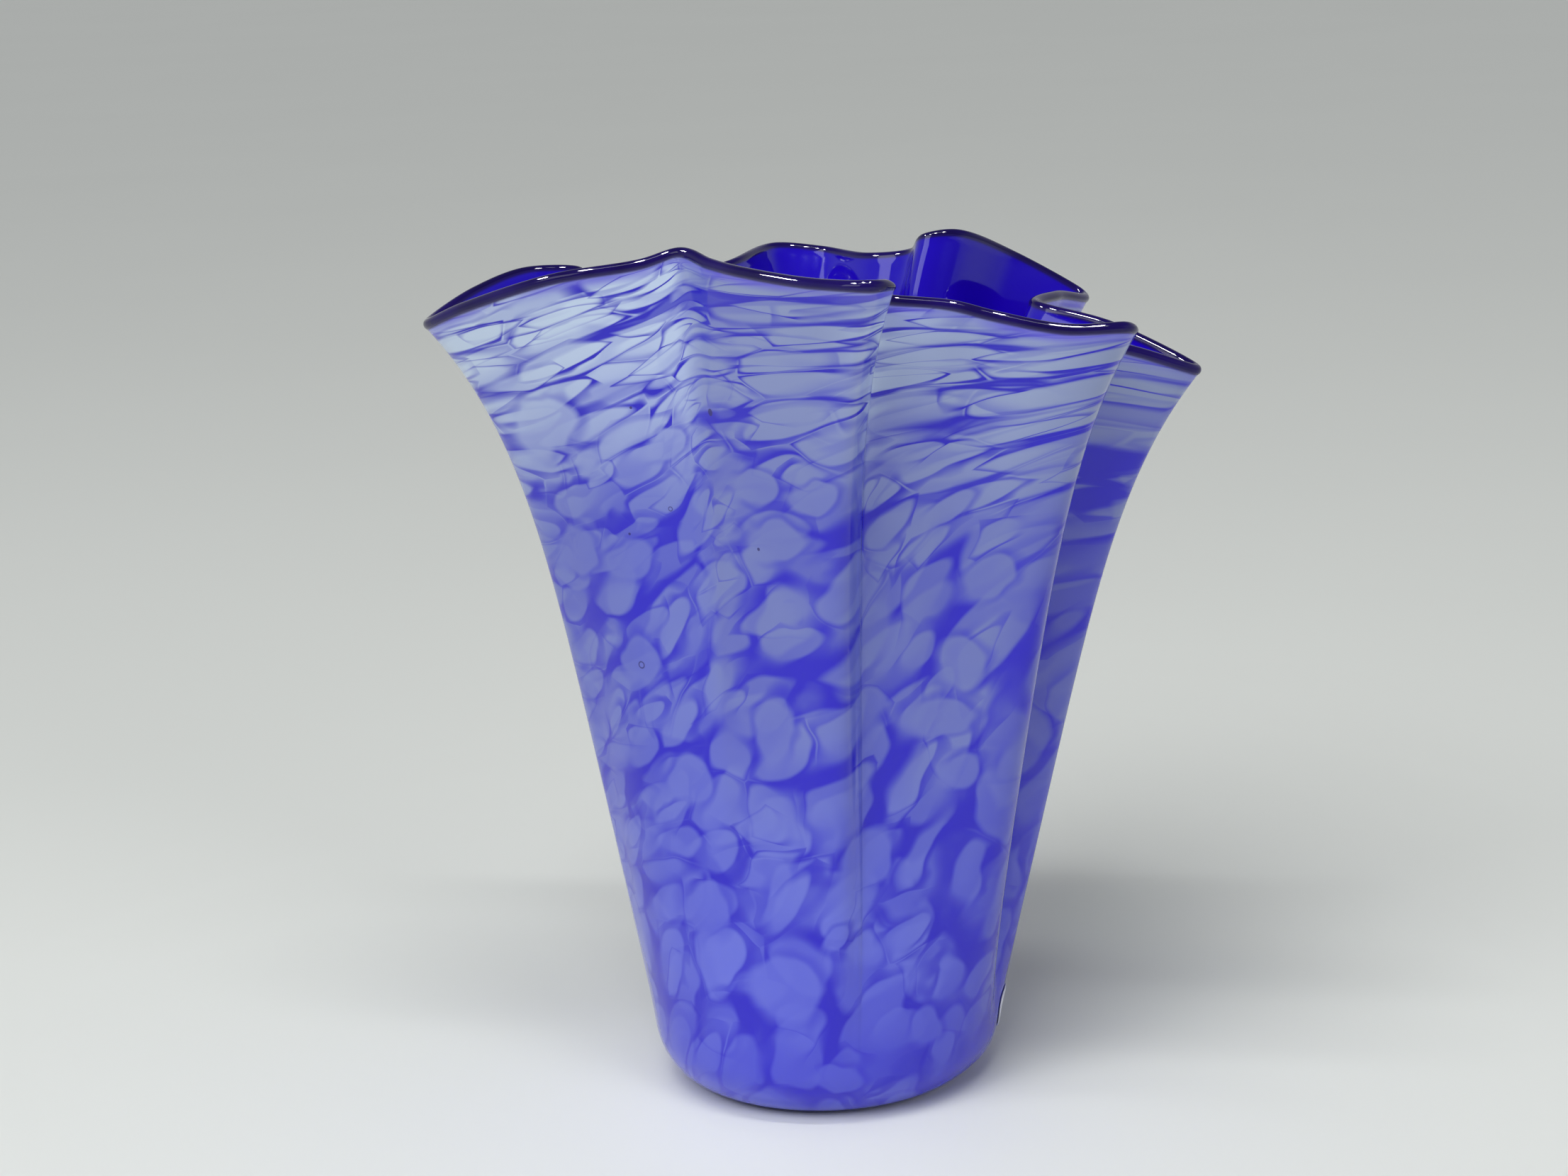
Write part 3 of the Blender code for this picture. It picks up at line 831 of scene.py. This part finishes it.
def sticker_paper(colours):
    """Blank uncoated paper with faint fibres."""
    finish, tree, shader = new_material("sticker_paper")
    spot = wire(put(tree, "ShaderNodeTexCoord"), 3)
    fibres = noise(tree, spot * (1.0, 1.0, 3.0), 0.6 * MM, 4.0)
    soft = mixed(tree, fibres, tuple(0.93 * level for level in colours.paper), colours.paper)
    feed(shader.inputs["Base Color"], soft)
    shader.inputs["Roughness"].default_value = 0.75
    feed(shader.inputs["Normal"],
         wire(put(tree, "ShaderNodeBump",
                  {"Strength": 0.3, "Distance": 0.05 * MM, "Height": fibres})))
    return finish


def pale_floor(colours):
    """Matt pale table top."""
    finish, tree, shader = new_material("pale_floor")
    spot = wire(put(tree, "ShaderNodeTexCoord"), 3)
    cloud = noise(tree, spot, 0.35)
    shade = mixed(tree, cloud, tuple(0.97 * level for level in colours.floor), colours.floor)
    feed(shader.inputs["Base Color"], shade)
    shader.inputs["Roughness"].default_value = 0.55
    return finish


def aim(place, target):
    """Matrix that stands a lamp at a place and points it at a target."""
    place = Vector(place)
    turn = (Vector(target) - place).to_track_quat("-Z", "Y")
    return Matrix.Translation(place) @ turn.to_matrix().to_4x4()


def add_lamp(name, place, target, size, power, mirrored=True, lighting=True):
    """Rectangular soft lamp, or without a size a far, soft one with even light."""
    light = bpy.data.lights.new(name, "AREA" if size else "SUN")
    light.energy = power
    if size:
        light.shape = "RECTANGLE"
        light.size, light.size_y = size
    else:
        light.angle = SUN_ANGLE
    lamp = bpy.data.objects.new(name, light)
    bpy.context.scene.collection.objects.link(lamp)
    lamp.matrix_world = aim(place, target)
    lamp.visible_glossy = mirrored
    lamp.visible_diffuse = lighting


def add_camera():
    """Camera at the photograph's viewing angle."""
    cosine, sine = math.cos(CAMERA_ROLL), math.sin(CAMERA_ROLL)
    ahead = Vector((0.0, math.cos(CAMERA_PITCH), -math.sin(CAMERA_PITCH)))
    level_right = Vector((1.0, 0.0, 0.0))
    level_up = Vector((0.0, math.sin(CAMERA_PITCH), math.cos(CAMERA_PITCH)))
    right = level_right * cosine - level_up * sine
    up = level_right * sine + level_up * cosine
    data = bpy.data.cameras.new("camera")
    data.sensor_width = 36.0
    data.lens = data.sensor_width * FOCAL_LENGTH_PX / PHOTO_WIDTH_PX
    data.clip_start = 0.05
    data.clip_end = 100.0
    camera = bpy.data.objects.new("camera", data)
    bpy.context.scene.collection.objects.link(camera)
    turn = Matrix((right, up, -ahead)).transposed()
    camera.matrix_world = Matrix.Translation(CAMERA_PLACE) @ turn.to_4x4()
    bpy.context.scene.camera = camera


def soft_world():
    """Room light: pale walls under a darker ceiling, and an open, darker front."""
    world = bpy.data.worlds.new("soft_room")
    world.use_nodes = True
    tree = world.node_tree
    _, backward, upward = parts(wire(put(tree, "ShaderNodeTexCoord")))
    darker = step("MAXIMUM", ease(upward, 0.30, 0.70), ease(backward, -0.2, -0.7))
    feed(tree.nodes["Background"].inputs["Color"],
         mixed(tree, darker, PALE_WALL, DARK_CEILING))
    tree.nodes["Background"].inputs["Strength"].default_value = ROOM_STRENGTH
    bpy.context.scene.world = world


class VASE_OT_stage(bpy.types.Operator):
    """Lay the pale floor and set up the lamps, the room light and the camera"""

    bl_idname = "vase.stage"
    bl_label = "Set the Stage"

    def execute(self, context):
        colours = context.scene.vase_colours
        turns = [2.0 * math.pi * i / FLOOR_CORNERS for i in range(FLOOR_CORNERS)]
        ring = [(FLOOR_RADIUS * math.cos(turn), FLOOR_RADIUS * math.sin(turn), 0.0)
                for turn in turns]
        mesh = bpy.data.meshes.new("floor")
        mesh.from_pydata(ring, [], [tuple(range(FLOOR_CORNERS))])
        mesh.materials.append(pale_floor(colours))
        floor = bpy.data.objects.new("floor", mesh)
        context.scene.collection.objects.link(floor)
        for name, (place, target, size, power, mirrored) in LAMPS.items():
            add_lamp(name, place, target, size, power, mirrored)
        for place in HIGHLIGHT_PLACES:
            add_lamp("highlight lamp", place, HIGHLIGHT_TARGET, HIGHLIGHT_SIZE,
                     HIGHLIGHT_POWER, True, False)
        soft_world()
        add_camera()
        context.scene.view_settings.view_transform = "Standard"
        return {"FINISHED"}


class VASE_OT_glass(bpy.types.Operator):
    """Build the folded glass body from its mouth line"""

    bl_idname = "vase.glass"
    bl_label = "Build the Glass"

    def execute(self, context):
        sizes = context.scene.vase_sizes
        line = mouth_line(sizes)
        columns = len(line.vertices)
        glass = bpy.data.objects.new("folded_glass", line)
        context.scene.collection.objects.link(glass)
        modifier = glass.modifiers.new("Folded Wall", "NODES")
        modifier.node_group = folded_wall_tree()
        set_inputs(modifier, {
            "Columns": columns, "Disc Rows": DISC_ROWS, "Rounding Rows": ROUNDING_ROWS,
            "Wall Rows": WALL_ROWS, "Bead Rows": BEAD_ROWS, "Row Ease": ROW_EASE,
            "Foot Radius": sizes.foot_radius,
            "Foot Height": sizes.foot_height, "Contact Radius": sizes.contact_radius,
            "Hollow Radius": sizes.hollow_radius, "Floor Thickness": sizes.floor_thickness,
            "Wall at Foot": sizes.wall_at_foot, "Wall at Rim": sizes.wall_at_rim,
            "Bead": sizes.bead, "Flare Power": sizes.flare_power,
            "Glass": flake_glass(context.scene.vase_colours),
            "Dark Bead": dark_bead(context.scene.vase_colours)})
        settle(glass)
        if len(glass.data.polygons) < columns:
            raise RuntimeError("the glass has no skin")
        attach(glass, "root")
        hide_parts("vase")
        return {"FINISHED"}


class VASE_OT_sticker(bpy.types.Operator):
    """Give the blank sticker its paper finish"""

    bl_idname = "vase.sticker"
    bl_label = "Finish the Sticker"

    def execute(self, context):
        sticker = bpy.data.objects["label"]
        paper = sticker_paper(context.scene.vase_colours)
        for place in sticker.material_slots:
            place.material = paper
        return {"FINISHED"}


class VASE_PT_panel(bpy.types.Panel):
    """Sidebar panel with the vase's sizes, colours and steps."""

    bl_label = "Handkerchief Vase"
    bl_space_type = "VIEW_3D"
    bl_region_type = "UI"
    bl_category = "Vase"

    def draw(self, context):
        scene = context.scene
        for group in (scene.vase_sizes, scene.vase_colours):
            for name in group.__annotations__:
                self.layout.prop(group, name)
        for operator in OPERATORS:
            self.layout.operator(operator.bl_idname)


OPERATORS = (VASE_OT_stage, VASE_OT_glass, VASE_OT_sticker)
CLASSES = (VaseSizes, VaseColours) + OPERATORS + (VASE_PT_panel,)


def register():
    for item in CLASSES:
        bpy.utils.register_class(item)
    bpy.types.Scene.vase_sizes = bpy.props.PointerProperty(type=VaseSizes)
    bpy.types.Scene.vase_colours = bpy.props.PointerProperty(type=VaseColours)


def unregister():
    del bpy.types.Scene.vase_sizes
    del bpy.types.Scene.vase_colours
    for item in reversed(CLASSES):
        bpy.utils.unregister_class(item)


def main():
    register()
    bpy.ops.vase.stage()
    bpy.ops.vase.glass()
    bpy.ops.vase.sticker()


if __name__ == "__main__":
    main()
